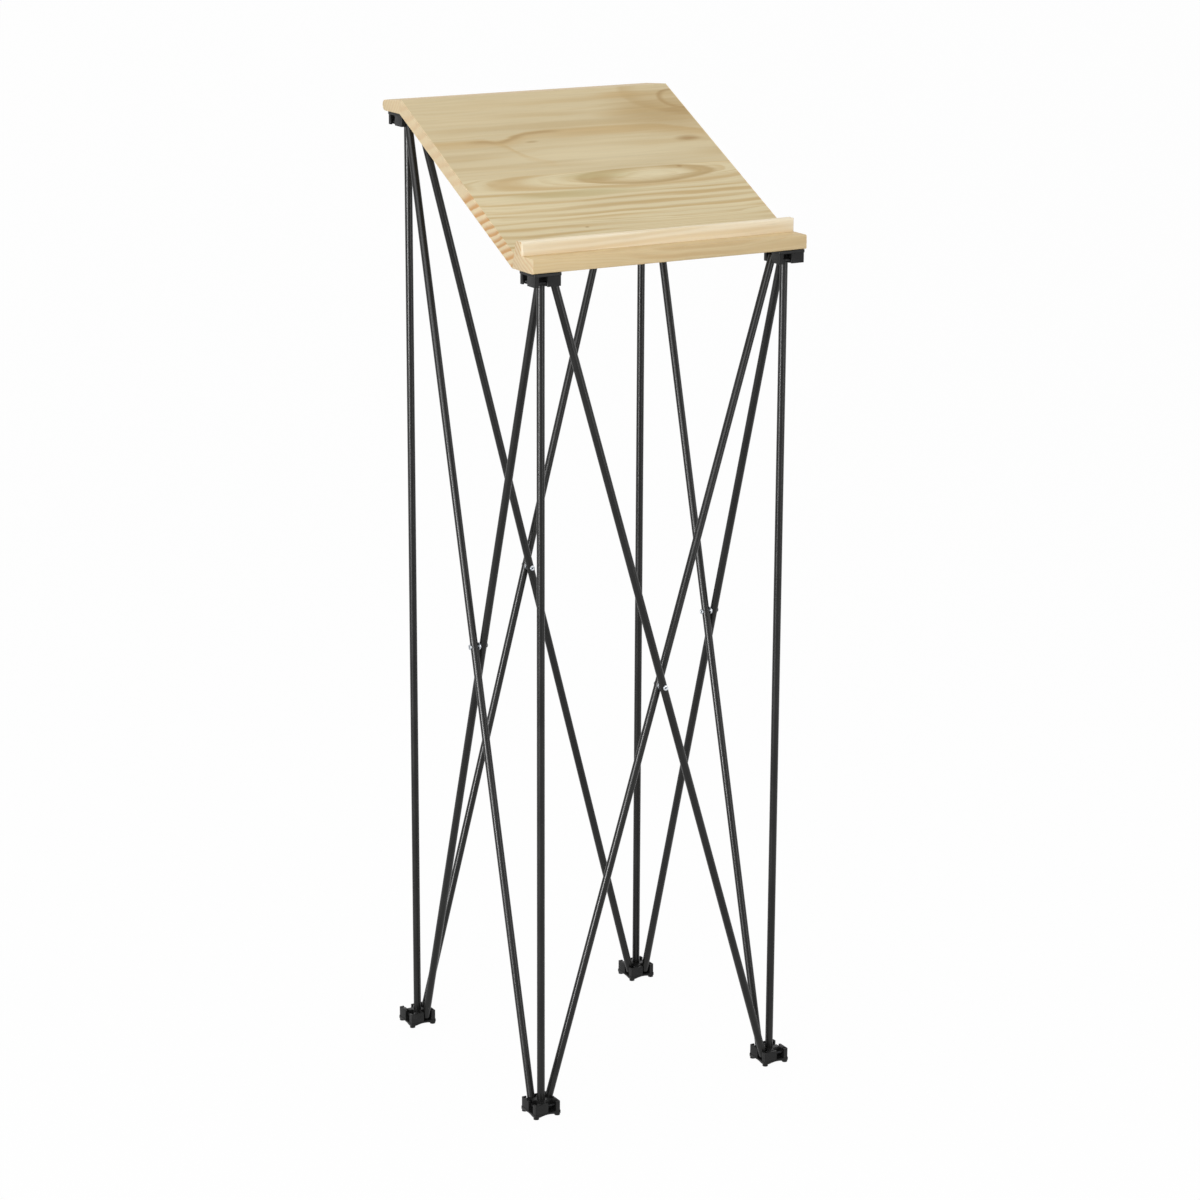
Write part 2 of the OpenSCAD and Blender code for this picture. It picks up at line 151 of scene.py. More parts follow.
# The last steps of every finish. Relief is the strength and the depth of the bumps
def finishShader(tree, shader, colour, roughness, height, relief):
    strength, depth = relief
    bump = addNode(tree, "ShaderNodeBump", {"Strength": strength, "Distance": depth}, {"Height": height})
    tree.links.new(colour, shader.inputs["Base Color"])
    tree.links.new(roughness, shader.inputs["Roughness"])
    tree.links.new(bump.outputs[0], shader.inputs["Normal"])


# Pine, planed and waxed. A board's rings are drawn as lines of one field, so that they run on over its edges:
# long ovals round a centre where the saw ran along a ring, and stripes beside them. The ends of the boards
# show the same rings in the stronger colours of end grain. All lengths are in metres.
pineTints = {"olive": "#BDAF80", "brown": "#9C7A48", "umber": "#B0925E", "tan": "#C4A877",
             "pale": "#DCCEAA", "endPale": "#E8D3AC", "endDark": "#CF9A5C"}

# How often each pattern of the grain comes in a metre along, across and through a board
pinePatterns = {
    "waver": {"scale": (6.0, 20.0, 20.0), "detail": 2.0},  # slow bends of the trunk
    "crowd": {"scale": (2.5, 55.0, 55.0), "detail": 1.0},  # years closer together or further apart
    "strength": {"scale": (4.0, 40.0, 40.0), "detail": 1.0},  # years that come and go
    "fray": {"scale": (7.0, 260.0, 260.0), "detail": 2.0},  # bundles of fibres, a few millimetres apart
    "fibres": {"scale": (12.0, 800.0, 800.0), "detail": 3.0, "roughness": 0.65},
    "ducts": {"scale": (50.0, 1300.0, 1300.0), "detail": 1.0},  # open resin ducts
    "tone": {"scale": (3.0, 16.0, 16.0), "detail": 2.0},  # slow change of shade
}

# What all boards share. A line is given in shares of a year, as lineOf takes it. A span is where the effect
# of a value starts and where it is full.
pineLook = {
    "strengthSpan": (0.35, 0.65),
    "hairsPerYear": 3.3, "hairLine": (0.3, 0.8, 0.85, 1.0), "hairSpan": (0.6, 0.4), "hairLeast": 0.05,
    "endLine": (0.15, 0.75, 0.8, 1.0), "endFrom": 1.0 * mm, "endFull": 0.4 * mm,
    "fleckTear": 0.6, "fleckSpan": (1.0, 0.15), "ductSpan": (0.68, 0.76),
    "fibreShade": 0.1, "frayShade": 0.12, "toneShade": 0.2, "ductShade": -0.08,
    "roughness": 0.46, "fibreRoughness": 0.12, "lateRoughness": -0.08,
    "lateRelief": 0.4, "ductRelief": -1.0, "relief": (0.2, 0.12 * mm), "ior": 1.46, "specular": 0.3,
}


def grainOf(tree, turned, key, seed=(0, 0, 0)):
    pattern = pinePatterns[key]
    spread = placed(tree, turned, scale=pattern["scale"], location=seed)
    return noise(tree, spread, 1.0, pattern["detail"], pattern.get("roughness", 0.5))


# Board coordinates: x along the grain, y across the board, z up through it from its top face
def boardCoordinates(tree, board):
    shifted = placed(tree, objectCoordinates(tree), location=board["corner"])
    settings = {"rotation_type": "X_AXIS", "Angle": board["turn"]}
    return addNode(tree, "ShaderNodeVectorRotate", settings, {"Vector": shifted}).outputs[0]


# Distance from an oval's centre, where a length along the grain counts less by the oval's stretch
def ovalOf(tree, along, across, oval):
    stretched = maths(tree, "MULTIPLY", maths(tree, "SUBTRACT", along, oval["at"][0]), 1 / oval["stretch"])
    offset = maths(tree, "SUBTRACT", across, oval["at"][1])
    squares = [maths(tree, "MULTIPLY", leg, leg) for leg in (stretched, offset)]
    return maths(tree, "SQRT", maths(tree, "ADD", *squares))


# A curve node works from 0 to 1: here that is this far either way along the board, and twice as far across
curveReach = 0.2


def curveOf(tree, along, points):
    node = addNode(tree, "ShaderNodeFloatCurve")
    node.mapping.clip_min_x, node.mapping.clip_max_x = 0.0, 1.0
    curve = node.mapping.curves[0]
    spots = [((x + curveReach) / (2 * curveReach), y / (2 * curveReach)) for x, y in points]
    for spot in spots[1:-1]:
        curve.points.new(*spot)
    curve.points[0].location = spots[0]
    curve.points[len(spots) - 1].location = spots[-1]
    node.mapping.update()
    place = maths(tree, "MULTIPLY_ADD", along, 1 / (2 * curveReach), 0.5)
    tree.links.new(place, node.inputs["Value"])
    return maths(tree, "MULTIPLY", node.outputs[0], 2 * curveReach)


# The dark line that ends each year, and finer lines between, from 0 for early wood to 1 for late wood
def lateWood(tree, turned, along, across, board):
    spread = swayed(tree, across, grainOf(tree, turned, "crowd", board["seed"]), board["crowd"])
    rings = ovalOf(tree, along, spread, board)
    years = maths(tree, "MULTIPLY_ADD", rings, 1 / board["ring"], board["phase"])
    late = lineOf(tree, maths(tree, "FRACT", years), *board["line"])
    # Some years are strong and some hardly show, and the same year comes and goes along the board
    strength = grainOf(tree, turned, "strength", board["seed"][::-1])
    yearShare = ranged(tree, strength, *pineLook["strengthSpan"], board["faint"], board["strong"])
    late = maths(tree, "MULTIPLY", late, yearShare)
    hairPlace = maths(tree, "FRACT", maths(tree, "MULTIPLY", years, pineLook["hairsPerYear"]))
    hair = lineOf(tree, hairPlace, *pineLook["hairLine"])
    hairShare = ranged(tree, strength, *pineLook["hairSpan"], pineLook["hairLeast"], board["hairs"])
    return maths(tree, "MAXIMUM", late, maths(tree, "MULTIPLY", hair, hairShare))


# A figure along a curve or round an oval. It fades on the lower or inner side, and ends sharply on the other
def streakShare(tree, along, across, streak):
    if "points" in streak:
        offset = maths(tree, "SUBTRACT", across, curveOf(tree, along, streak["points"]))
        start, end = streak["points"][0][0], streak["points"][-1][0]
        inside = lineOf(tree, along, start, start + streak["ease"], end - streak["ease"], end)
    else:
        offset = maths(tree, "SUBTRACT", ovalOf(tree, along, across, streak), streak["radius"])
        inside = 1.0
    band = lineOf(tree, offset, -streak["fade"], 0.0, 0.0, streak["sharp"])
    return maths(tree, "MULTIPLY", maths(tree, "MULTIPLY", band, inside), streak["depth"])


# A fleck is an oval patch with a torn edge, strongest in its middle
def fleckShare(tree, along, across, fray, fleck):
    torn = swayed(tree, across, fray, pineLook["fleckTear"] * fleck["wide"])
    reach = maths(tree, "DIVIDE", ovalOf(tree, along, torn, fleck), fleck["wide"])
    return ranged(tree, reach, *pineLook["fleckSpan"], 0.0, fleck["depth"])


# End grain: the rings again, unfrayed and more orange
def endGrain(tree, along, smooth, board):
    edge = maths(tree, "ABSOLUTE", along)
    atEnd = ranged(tree, edge, board["half"] - pineLook["endFrom"], board["half"] - pineLook["endFull"])
    years = maths(tree, "MULTIPLY", ovalOf(tree, along, smooth, board), board["endRings"] / board["ring"])
    cutLine = lineOf(tree, maths(tree, "FRACT", years), *pineLook["endLine"])
    share = maths(tree, "MULTIPLY", cutLine, board["endDepth"])
    return atEnd, mixed(tree, share, linear(pineTints["endPale"]), linear(pineTints["endDark"]))


def makePine(name, board):
    material, tree, shader = startMaterial(name)
    turned = boardCoordinates(tree, board)
    split = addNode(tree, "ShaderNodeSeparateXYZ", links={"Vector": turned})
    along = split.outputs["X"]
    # The rings slant through the board, the trunk's bends sway them and the fibres fray them
    slanted = maths(tree, "MULTIPLY_ADD", split.outputs["Z"], board["slant"], split.outputs["Y"])
    smooth = swayed(tree, slanted, grainOf(tree, turned, "waver", board["seed"]), board["waver"])
    fray = grainOf(tree, turned, "fray", board["seed"])
    across = swayed(tree, smooth, fray, board["fray"])
    late = lateWood(tree, turned, along, across, board)
    colour = mixed(tree, late, linear(board["early"]), linear(board["late"]))
    for streak in board["streaks"]:
        share = streakShare(tree, along, across, streak)
        colour = mixed(tree, share, colour, linear(pineTints[streak["tint"]]))
    for fleck in board["flecks"]:
        share = fleckShare(tree, along, across, fray, fleck)
        colour = mixed(tree, share, colour, linear(pineTints[fleck["tint"]]))
    atEnd, endColour = endGrain(tree, along, smooth, board)
    colour = mixed(tree, atEnd, colour, endColour)
    fibres = grainOf(tree, turned, "fibres")
    ducts = ranged(tree, grainOf(tree, turned, "ducts"), *pineLook["ductSpan"])
    tone = grainOf(tree, turned, "tone", board["seed"])
    shade = swayed(tree, 1.0, fibres, pineLook["fibreShade"])
    shade = swayed(tree, shade, fray, pineLook["frayShade"])
    shade = swayed(tree, shade, tone, pineLook["toneShade"])
    shade = maths(tree, "MULTIPLY_ADD", ducts, pineLook["ductShade"], shade)
    grey = addNode(tree, "ShaderNodeCombineColor", links={0: shade, 1: shade, 2: shade}).outputs[0]
    colour = mixed(tree, 1.0, colour, grey, "MULTIPLY")
    # Late wood is denser and takes a little more polish; the ducts and fibres stay open
    rough = maths(tree, "MULTIPLY_ADD", fibres, pineLook["fibreRoughness"], pineLook["roughness"])
    rough = maths(tree, "MULTIPLY_ADD", late, pineLook["lateRoughness"], rough)
    height = maths(tree, "MULTIPLY_ADD", late, pineLook["lateRelief"], fibres)
    height = maths(tree, "MULTIPLY_ADD", ducts, pineLook["ductRelief"], height)
    finishShader(tree, shader, colour, rough, height, pineLook["relief"])
    shader.inputs["IOR"].default_value = pineLook["ior"]
    shader.inputs["Specular IOR Level"].default_value = pineLook["specular"]
    return material


noiseSpan = (0.3, 0.7)  # a noise seldom leaves these values


# Steel tube, powder coated: a satin black skin with the faint orange peel of baked powder
def makePowderCoat(name, coat):
    material, tree, shader = startMaterial(name)
    coords = objectCoordinates(tree)
    cloud = noise(tree, coords, 1 / coat["cloud"], detail=2.0)
    peel = noise(tree, coords, 1 / coat["peel"], detail=1.0)
    colour = mixed(tree, ranged(tree, cloud, *coat["worn"]), linear(coat["deep"]), linear(coat["pale"]))
    rough = ranged(tree, cloud, *noiseSpan, *coat["roughness"])
    finishShader(tree, shader, colour, rough, peel, coat["relief"])
    shader.inputs["Specular IOR Level"].default_value = coat["specular"]
    return material


# Glass-filled nylon as it leaves a spark-eroded mould: matt, with a fine even grain and paler scuffs
nylonSkin = {"scuffed": (0.55, 0.8), "relief": (0.3, 0.06 * mm)}


def makeNylon(name, plastic):
    material, tree, shader = startMaterial(name)
    coords = objectCoordinates(tree)
    grain = noise(tree, coords, 1 / plastic["grain"], detail=2.0, roughness=0.7)
    scuff = noise(tree, coords, 1 / plastic["scuff"], detail=3.0)
    scuffed = ranged(tree, scuff, *nylonSkin["scuffed"])
    colour = mixed(tree, scuffed, linear(plastic["deep"]), linear(plastic["pale"]))
    rough = ranged(tree, grain, *noiseSpan, *plastic["roughness"])
    finishShader(tree, shader, colour, rough, grain, nylonSkin["relief"])
    shader.inputs["Specular IOR Level"].default_value = plastic["specular"]
    return material


# Bare or plated metal: blackened wire, turned steel, zinc and nickel, told apart by tint and by fine marks
metalSkin = {"patch": 4 * mm, "dulled": (0.35, 0.7), "relief": (0.1, 0.03 * mm)}


def makeMetal(name, metal):
    material, tree, shader = startMaterial(name)
    coords = objectCoordinates(tree)
    marks = noise(tree, placed(tree, coords, scale=metal["marks"]), 1.0, detail=3.0, roughness=0.6)
    patch = noise(tree, coords, 1 / metalSkin["patch"], detail=2.0)
    dulled = ranged(tree, patch, *metalSkin["dulled"])
    colour = mixed(tree, dulled, linear(metal["bright"]), linear(metal["dull"]))
    rough = ranged(tree, marks, *noiseSpan, *metal["roughness"])
    finishShader(tree, shader, colour, rough, marks, metalSkin["relief"])
    shader.inputs["Metallic"].default_value = 1.0
    return material


# Where the boards lie, read from the frame
railLow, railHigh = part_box("front_rail")
battenLow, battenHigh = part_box("back_batten")
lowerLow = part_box("lower_board")[0]
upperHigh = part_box("upper_board")[1]
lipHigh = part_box("lip")[1]
slope = math.atan2(battenLow.z - railLow.z, upperHigh.y - lowerLow.y)
boardThick = railHigh.z - railLow.z
apex = Vector((0.0, lowerLow.y, railHigh.z))  # where the slanted board's top face meets the rail's
trayHalf = railHigh.x
print("tray slopes by %.1f degrees, boards %.1f mm thick" % (math.degrees(slope), boardThick / mm))


# The shaders measure a board from a line along the tray
def boardOrigin(point):
    return 0.0, -point.y, -point.z


# A board's rings are ovals round "at". "ring" is the width of a year, "phase" how far the first one has got
# at the centre, and "line" the dark part of a year. "waver", "crowd" and "fray" say how far those patterns
# move the rings. "faint" and "strong" are the depths of a weak and a strong year, "hairs" that of the finer
# lines. "endRings" is how many rings the end grain shows for each one on the face, "endDepth" their depth,
# and "half" how far the ends are from the middle.
softLine = (0.1, 0.55, 0.7, 1.0)
slantedBoard = {"corner": boardOrigin(apex), "turn": -slope, "half": trayHalf, "slant": 0.9}
narrowBoard = {"half": trayHalf, "line": softLine, "crowd": 0.004, "fray": 0.002, "hairs": 0.2, "streaks": []}
pines = {
    "upper": {
        **slantedBoard, "seed": (3.1, 1.7, 4.4), "early": "#D1C09A", "late": "#BFA677",
        "at": (0.02, 0.62), "stretch": 30.0, "ring": 0.026, "phase": 0.2, "line": softLine,
        "waver": 0.022, "crowd": 0.012, "fray": 0.006, "faint": 0.0, "strong": 0.55, "hairs": 0.2,
        "endRings": 1.3, "endDepth": 0.22,
        # The long forked line, its darker left half and its tail, then two hooks at the right end
        "streaks": [
            {"points": [(-0.186, 0.226), (-0.12, 0.225), (-0.1, 0.221), (-0.076, 0.228), (-0.053, 0.235),
                        (0.03, 0.236), (0.098, 0.233), (0.142, 0.226), (0.186, 0.213)],
             "ease": 0.004, "sharp": 0.005, "fade": 0.022, "depth": 0.8, "tint": "tan"},
            {"points": [(-0.15, 0.225), (-0.12, 0.224), (-0.1, 0.22), (-0.076, 0.227), (-0.053, 0.234),
                        (0.0, 0.235)],
             "ease": 0.03, "sharp": 0.004, "fade": 0.007, "depth": 0.42, "tint": "brown"},
            {"points": [(-0.112, 0.226), (-0.095, 0.211), (-0.078, 0.187), (-0.04, 0.167)],
             "ease": 0.014, "sharp": 0.005, "fade": 0.014, "depth": 0.55, "tint": "tan"},
            {"at": (0.188, 0.284), "stretch": 1.35, "radius": 0.021,
             "sharp": 0.004, "fade": 0.006, "depth": 0.6, "tint": "brown"},
            {"at": (0.2, 0.3), "stretch": 1.7, "radius": 0.05,
             "sharp": 0.006, "fade": 0.016, "depth": 0.35, "tint": "umber"},
        ],
        "flecks": [
            {"at": (0.045, 0.226), "stretch": 9.0, "wide": 0.012, "depth": 0.5, "tint": "tan"},
            {"at": (0.155, 0.199), "stretch": 2.6, "wide": 0.01, "depth": 0.75, "tint": "brown"},
            {"at": (0.11, 0.298), "stretch": 5.0, "wide": 0.012, "depth": 0.6, "tint": "tan"},
            {"at": (-0.057, 0.216), "stretch": 4.0, "wide": 0.003, "depth": 0.4, "tint": "brown"},
            {"at": (0.17, 0.258), "stretch": 3.0, "wide": 0.012, "depth": 0.4, "tint": "brown"},
            {"at": (0.1, 0.262), "stretch": 7.0, "wide": 0.01, "depth": 0.4, "tint": "tan"},
            {"at": (0.15, 0.26), "stretch": 1.8, "wide": 0.06, "depth": 0.62, "tint": "umber"},
            {"at": (0.02, 0.178), "stretch": 9.0, "wide": 0.024, "depth": 0.5, "tint": "pale"},
        ],
    },
    "lower": {
        **slantedBoard, "seed": (7.7, 5.2, 0.9), "early": "#DACBA5", "late": "#BE9F68",
        "at": (0.06, 0.133), "stretch": 9.5, "ring": 0.012, "phase": 0.81, "line": (0.15, 0.55, 0.65, 0.95),
        "waver": 0.012, "crowd": 0.022, "fray": 0.004, "faint": 0.05, "strong": 0.75, "hairs": 0.45,
        "endRings": 1.0, "endDepth": 0.9,
        # Two long ovals, one inside the other
        "streaks": [
            {"at": (0.06, 0.133), "stretch": 9.4, "radius": 0.0215,
             "sharp": 0.003, "fade": 0.006, "depth": 0.65, "tint": "tan"},
            {"at": (0.06, 0.132), "stretch": 5.8, "radius": 0.0155,
             "sharp": 0.0025, "fade": 0.009, "depth": 0.75, "tint": "umber"},
        ],
        "flecks": [
            {"at": (0.0, 0.137), "stretch": 6.0, "wide": 0.012, "depth": 0.6, "tint": "olive"},
            {"at": (-0.05, 0.105), "stretch": 12.0, "wide": 0.011, "depth": 0.6, "tint": "olive"},
            {"at": (0.0, 0.132), "stretch": 4.0, "wide": 0.008, "depth": 0.5, "tint": "umber"},
            {"at": (0.112, 0.143), "stretch": 2.0, "wide": 0.003, "depth": 0.5, "tint": "brown"},
            {"at": (0.075, 0.133), "stretch": 6.5, "wide": 0.01, "depth": 0.75, "tint": "pale"},
            {"at": (-0.069, 0.038), "stretch": 1.4, "wide": 0.003, "depth": 0.6, "tint": "brown"},
        ],
    },
    "rail": {
        **narrowBoard, "corner": boardOrigin(railHigh), "turn": math.pi / 2, "slant": 0.6,
        "seed": (1.3, 8.8, 2.6), "early": "#D9C296", "late": "#C09A62",
        "at": (0.03, -0.03), "stretch": 14.0, "ring": 0.0085, "phase": 0.1,
        "waver": 0.024, "faint": 0.1, "strong": 0.5, "endRings": 1.6, "endDepth": 0.34,
        "flecks": [
            {"at": (0.04, -0.009), "stretch": 12.0, "wide": 0.006, "depth": 0.4, "tint": "tan"},
            {"at": (0.056, -0.007), "stretch": 1.5, "wide": 0.003, "depth": 0.7, "tint": "brown"},
        ],
    },
    "batten": {
        **narrowBoard, "corner": boardOrigin(battenHigh), "turn": 0.0, "slant": 0.7,
        "seed": (6.1, 2.2, 9.5), "early": "#D9C49C", "late": "#C2A070",
        "at": (0.0, 0.12), "stretch": 20.0, "ring": 0.009, "phase": 0.3,
        "waver": 0.008, "faint": 0.2, "strong": 0.6, "endRings": 1.5, "endDepth": 0.2,
        "flecks": [],
    },
    "lip": {
        **narrowBoard, "corner": boardOrigin(lipHigh), "turn": math.pi / 2, "slant": 0.8,
        "seed": (4.9, 3.3, 7.1), "early": "#F8EBD0", "late": "#E9D4AC",
        "at": (-0.1, -0.03), "stretch": 16.0, "ring": 0.008, "phase": 0.0,
        "waver": 0.01, "faint": 0.1, "strong": 0.7, "endRings": 1.2, "endDepth": 0.5,
        "flecks": [{"at": (0.15, -0.004), "stretch": 10.0, "wide": 0.008, "depth": 0.15, "tint": "tan"}],
    },
}
pineOf = {key: makePine("planedPine" + key.capitalize(), pines[key]) for key in pines}

# The dowels are beech: finer rings, no figures, and no end grain, because "half" is far beyond their ends
beech = makePine("turnedBeech", {
    "corner": (0.0, 0.0, 0.0), "turn": math.pi / 2, "half": 1.0, "slant": 0.5,
    "seed": (2.0, 2.0, 2.0), "early": "#CFA576", "late": "#A97C4C",
    "at": (0.0, 0.3), "stretch": 40.0, "ring": 0.002, "phase": 0.0, "line": softLine,
    "waver": 0.002, "crowd": 0.0, "fray": 0.0, "faint": 0.3, "strong": 0.8, "hairs": 0.0,
    "endRings": 1.0, "endDepth": 0.5, "streaks": [], "flecks": []})
powderCoat = makePowderCoat("blackPowderCoat", {
    "deep": "#161615", "pale": "#1D1D1C", "cloud": 60 * mm, "worn": (0.3, 0.75), "peel": 0.5 * mm,
    "roughness": (0.25, 0.33), "specular": 0.26, "relief": (0.12, 0.1 * mm)})
nylon = makeNylon("blackNylonMoulding", {
    "deep": "#181818", "pale": "#222222", "grain": 0.35 * mm, "scuff": 7 * mm,
    "roughness": (0.32, 0.46), "specular": 0.18})
capNylon = makeNylon("blackNylonPlug", {
    "deep": "#191919", "pale": "#262626", "grain": 0.3 * mm, "scuff": 5 * mm,
    "roughness": (0.38, 0.52), "specular": 0.4})
wireSteel = makeMetal("blackenedSteelWire", {
    "bright": "#29292A", "dull": "#1D1D1E", "marks": (400.0, 400.0, 4000.0), "roughness": (0.34, 0.5)})
zincSteel = makeMetal("zincPlatedSteel", {
    "bright": "#C4C8CC", "dull": "#989DA3", "marks": (2500.0, 2500.0, 2500.0), "roughness": (0.26, 0.42)})
turnedSteel = makeMetal("turnedSteel", {
    "bright": "#A9AAAC", "dull": "#7F8083", "marks": (300.0, 300.0, 5000.0), "roughness": (0.22, 0.36)})
nickelPlate = makeMetal("nickelPlatedMagnet", {
    "bright": "#B6B3AC", "dull": "#959289", "marks": (900.0, 900.0, 900.0), "roughness": (0.12, 0.24)})
print("materials made:", len(bpy.data.materials))


# Gives a solid's own mesh its finish
def dress(nodeName, material):
    mesh = frame["nodes"][nodeName].data
    mesh.materials.clear()
    mesh.materials.append(material)


profileStep = 0.05 * mm  # two corners of the tray's outline are the same point when they are nearer than this


def profileKey(point):
    return round(point.y / profileStep), round(point.z / profileStep)


# How a solid's mesh is cleaned before its edges are broken, and which lines count as upright corners
edgeRules = {"merge": 0.001 * mm, "flatAngle": 0.5, "uprightLeast": 5 * mm, "uprightShare": 0.99}


# Upright outer corners of a piece take the width "upright", other sharp edges the plain width, and the
# lines along a glue joint none
def weighEdges(shape, edge, glued):
    weight = shape.edges.layers.float.new("bevel_weight_edge")
    for line in shape.edges:
        joined = all(profileKey(vert.co) in glued for vert in line.verts)
        sharp = line.calc_face_angle(0.0) > math.radians(edge["angle"])
        if joined or not sharp:
            continue
        rise = abs(line.verts[0].co.z - line.verts[1].co.z)
        upright = rise > edgeRules["uprightLeast"] and rise > edgeRules["uprightShare"] * line.calc_length()
        line[weight] = 1.0 if upright and line.is_convex else edge["width"] / edge["upright"]


# A copy of a solid with its edges broken, as a mould or a sander leaves them
def softened(nodeName, pieceName, material, edge, glued=()):
    mesh = frame["nodes"][nodeName].data.copy()
    shape = bmesh.new()
    shape.from_mesh(mesh)
    bmesh.ops.remove_doubles(shape, verts=shape.verts, dist=edgeRules["merge"])
    flatAngle = math.radians(edgeRules["flatAngle"])
    bmesh.ops.dissolve_limit(shape, angle_limit=flatAngle, verts=shape.verts, edges=shape.edges)
    weighEdges(shape, edge, glued)
    shape.to_mesh(mesh)
    shape.free()
    mesh.materials.clear()
    mesh.materials.append(material)
    piece = bpy.data.objects.new(pieceName, mesh)
    scene.collection.objects.link(piece)
    bevel = piece.modifiers.new("brokenEdges", "BEVEL")
    bevel.width = edge["upright"]
    bevel.segments = edge["segments"]
    bevel.limit_method = "WEIGHT"
    bpy.context.view_layer.update()
    finished = bpy.data.meshes.new_from_object(piece.evaluated_get(bpy.context.evaluated_depsgraph_get()))
    piece.modifiers.clear()
    piece.data = finished
    for polygon in finished.polygons:
        polygon.use_smooth = True
    finished.set_sharp_from_angle(angle=math.radians(edge["angle"]))
    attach(piece, frame["nodes"][nodeName]["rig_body"])
    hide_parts(nodeName)
    return piece


boardEdge = {"width": 1.2 * mm, "upright": 1.2 * mm, "segments": 3, "angle": 40}
trayPieces = {"upper_board": "upper", "lower_board": "lower", "front_rail": "rail",
              "back_batten": "batten", "lip": "lip"}
profiles = {name: {profileKey(vert.co) for vert in frame["nodes"][name].data.vertices} for name in trayPieces}
gluedPairs = (("front_rail", "lower_board"), ("lower_board", "upper_board"), ("upper_board", "back_batten"))
glued = set().union(*(profiles[first] & profiles[second] for first, second in gluedPairs))
for nodeName, key in trayPieces.items():
    board = softened(nodeName, "pine_" + key, pineOf[key], boardEdge, glued)
print("tray boards dressed")

hubEdge = {"width": 0.35 * mm, "upright": 1.0 * mm, "segments": 3, "angle": 40}
for corner in corners:
    for kind in ("foot_", "hub_"):
        moulding = softened(kind + corner, "moulded_" + kind + corner, nylon, hubEdge)
print("feet and hubs dressed")

rivetEdge = {"width": 0.25 * mm, "upright": 0.25 * mm, "segments": 2, "angle": 40}
# The other nodes keep their solids' own meshes. Each finish is listed by the start of the nodes' names
plainFinishes = {"leg_": powderCoat, "rod_": powderCoat, "caps_": capNylon, "guide_": turnedSteel,
                 "magnet_": nickelPlate, "foot_pins_": wireSteel, "hub_pins_": wireSteel,
                 "free_pin": wireSteel, "strike_plates": zincSteel, "plate_screws": zincSteel,
                 "lip_dowels": beech}
for nodeName in frame["nodes"]:
    if nodeName.startswith("rivet_"):
        softened(nodeName, "turned_" + nodeName, zincSteel, rivetEdge)
    for start, finish in plainFinishes.items():
        if nodeName.startswith(start):
            dress(nodeName, finish)
print("frame dressed")


# One where the camera or a reflection sees a surface, and nought for the light that it gives
def seenDirectly(tree):
    ray = addNode(tree, "ShaderNodeLightPath")
    bounced = maths(tree, "MAXIMUM", ray.outputs["Is Glossy Ray"], ray.outputs["Is Transmission Ray"])
    return maths(tree, "MAXIMUM", ray.outputs["Is Camera Ray"], bounced)


# Floor and backdrop are one white sheet that curves up behind the lectern
studio = {"width": 14.0, "front": -7.0, "back": 5.0, "height": 6.0, "bend": 2.0, "steps": 24,
          "paper": "#F2F2F2", "roughness": 0.9, "shadow": 0.025}
white = (1, 1, 1, 1)


# The sheet glows white where it is seen, and shows only a little of the shadow that falls on it
def makePaper():
    material, tree, shader = startMaterial("whitePaper")
    shader.inputs["Base Color"].default_value = linear(studio["paper"])
    shader.inputs["Roughness"].default_value = studio["roughness"]
    glow = addNode(tree, "ShaderNodeEmission", {"Color": white, "Strength": 1.0})
    share = maths(tree, "MULTIPLY", seenDirectly(tree), 1 - studio["shadow"])
    both = addNode(tree, "ShaderNodeMixShader", links={0: share, 1: shader.outputs[0], 2: glow.outputs[0]})
    output = next(node for node in tree.nodes if node.type == "OUTPUT_MATERIAL")
    tree.links.new(both.outputs[0], output.inputs["Surface"])
    return material


def makeStudio():
    profile = [(studio["front"], 0.0), (studio["back"] - studio["bend"], 0.0)]
    for step in range(1, studio["steps"] + 1):
        angle = math.pi / 2 * step / studio["steps"]
        profile.append((studio["back"] - studio["bend"] * (1 - math.sin(angle)),
                        studio["bend"] * (1 - math.cos(angle))))
    profile.append((studio["back"], studio["height"]))
    shape = bmesh.new()
    half = studio["width"] / 2
    pairs = [(shape.verts.new((-half, y, z)), shape.verts.new((half, y, z))) for y, z in profile]
    for (a, b), (c, d) in zip(pairs, pairs[1:]):
        shape.faces.new((a, b, d, c))
    mesh = bpy.data.meshes.new("studioSheet")
    shape.to_mesh(mesh)
    shape.free()
    sheet = bpy.data.objects.new("studio_sheet", mesh)
    scene.collection.objects.link(sheet)
    for polygon in mesh.polygons:
        polygon.use_smooth = True
    mesh.materials.append(makePaper())


makeStudio()

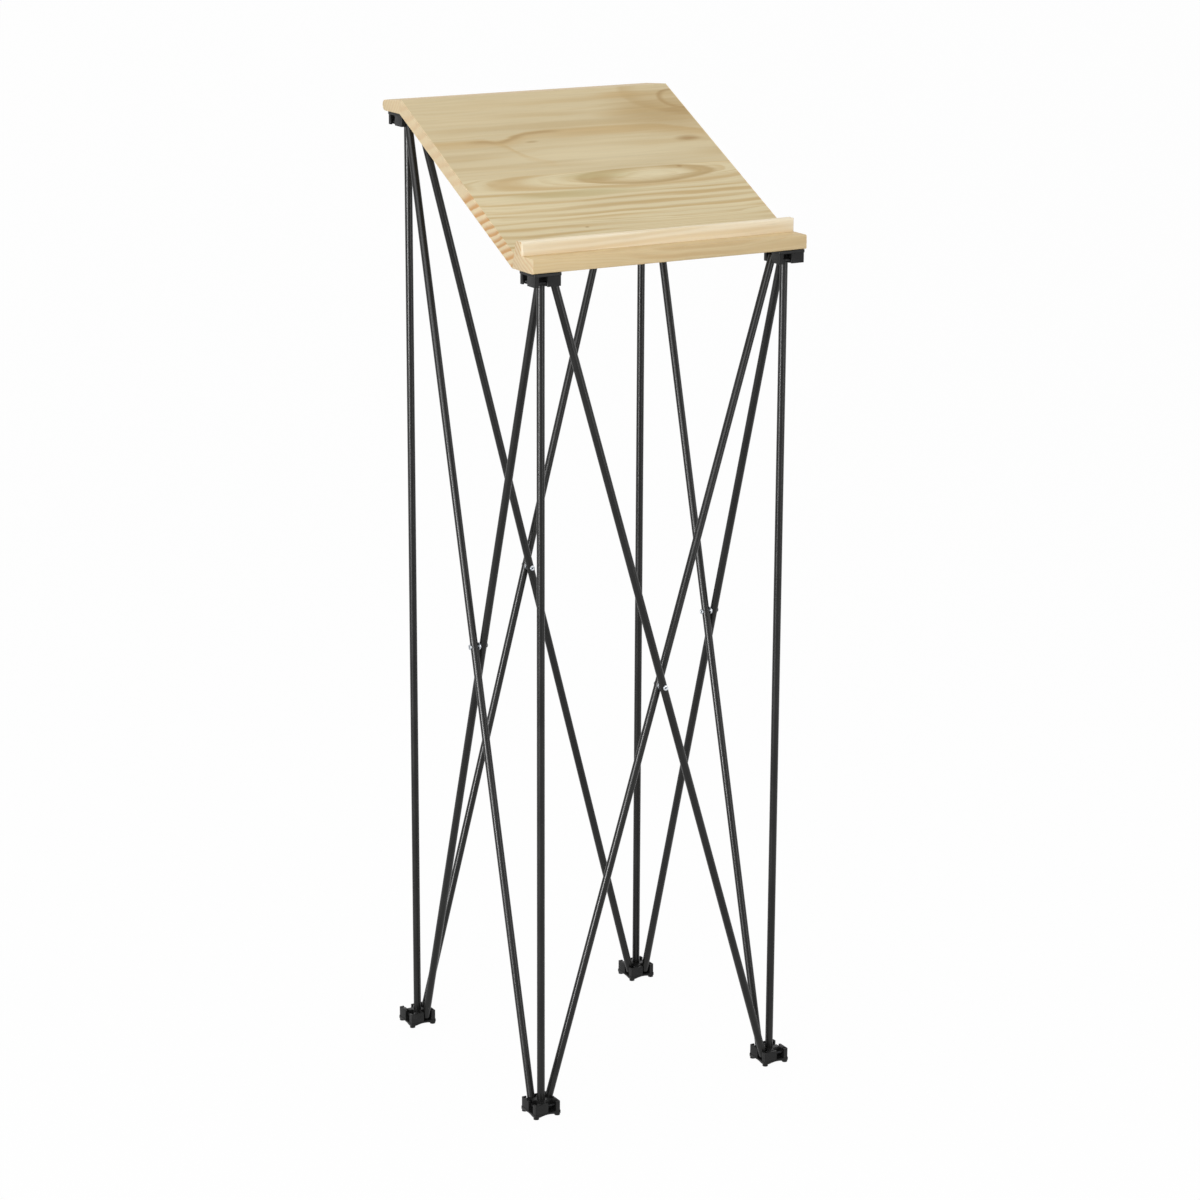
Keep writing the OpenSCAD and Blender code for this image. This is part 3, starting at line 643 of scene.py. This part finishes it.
# Soft light from three panels: a large one to the left of the camera, a weaker one to its right and one
# above. Two strips near the floor draw the bright lines along the tubes, and leave the wood's colour alone.
lamps = {
    "leftPanel": {"at": (-3.2, -2.6, 2.4), "size": (2.2, 3.0), "watts": 92.0},
    "rightPanel": {"at": (3.4, -2.8, 2.2), "size": (1.6, 2.6), "watts": 28.0},
    "topPanel": {"at": (-0.3, 0.2, 4.2), "size": (3.0, 3.0), "watts": 37.0},
    "leftStrip": {"at": (-3.3, -0.9, 0.55), "size": (0.7, 1.05), "watts": 115.0, "glossOnly": True},
    "rightStrip": {"at": (1.3, -3.2, 0.55), "size": (0.7, 1.05), "watts": 16.0, "glossOnly": True},
}
lampTarget = Vector((0.0, 0.0, 0.7))
for name, lamp in lamps.items():
    light = bpy.data.lights.new(name, "AREA")
    light.shape = "RECTANGLE"
    light.size, light.size_y = lamp["size"]
    light.energy = lamp["watts"]
    lampObject = bpy.data.objects.new(name, light)
    lampObject.location = lamp["at"]
    lampObject.rotation_euler = (lampTarget - Vector(lamp["at"])).to_track_quat("-Z", "Y").to_euler()
    lampObject.visible_diffuse = not lamp.get("glossOnly", False)
    scene.collection.objects.link(lampObject)

# The room round the sheet: white where it is seen, and a weaker fill where it only lights
room = {"fill": 0.37, "seen": 1.0}


def makeRoom():
    world = bpy.data.worlds.new("whiteRoom")
    scene.world = world
    world.use_nodes = True
    tree = world.node_tree
    tree.nodes.clear()
    strength = ranged(tree, seenDirectly(tree), 0.0, 1.0, room["fill"], room["seen"], "LINEAR")
    light = addNode(tree, "ShaderNodeBackground", {"Color": white}, {"Strength": strength})
    addNode(tree, "ShaderNodeOutputWorld", links={"Surface": light.outputs[0]})


makeRoom()

# The camera stands where the photograph was taken: left of the reader, above the tray. Azimuth and elevation
# are in degrees and the roll in radians, focal length and sensor in millimetres, the rest in metres.
view = {"azimuth": -30.137, "elevation": 15.419, "roll": 0.00447, "distance": 4.1597,
        "target": (0.01081, -0.00494, 0.58457), "focal": 100.707, "sensor": 36.0, "near": 0.1, "far": 60.0}


def makeCamera():
    data = bpy.data.cameras.new("photoCamera")
    data.lens = view["focal"]
    data.sensor_width = view["sensor"]
    data.clip_start, data.clip_end = view["near"], view["far"]
    camera = bpy.data.objects.new("photoCamera", data)
    azimuth, elevation = math.radians(view["azimuth"]), math.radians(view["elevation"])
    back = Vector((math.sin(azimuth) * math.cos(elevation), -math.cos(azimuth) * math.cos(elevation),
                   math.sin(elevation)))
    right = Vector((0, 0, 1)).cross(back).normalized()
    up = back.cross(right)
    turn = Matrix.Rotation(view["roll"], 3, back)
    axes = Matrix((turn @ right, turn @ up, back)).transposed()
    camera.matrix_world = Matrix.Translation(Vector(view["target"]) + back * view["distance"]) @ axes.to_4x4()
    scene.collection.objects.link(camera)
    scene.camera = camera


makeCamera()
scene.view_settings.view_transform = "Standard"
print("studio, lamps and camera made")
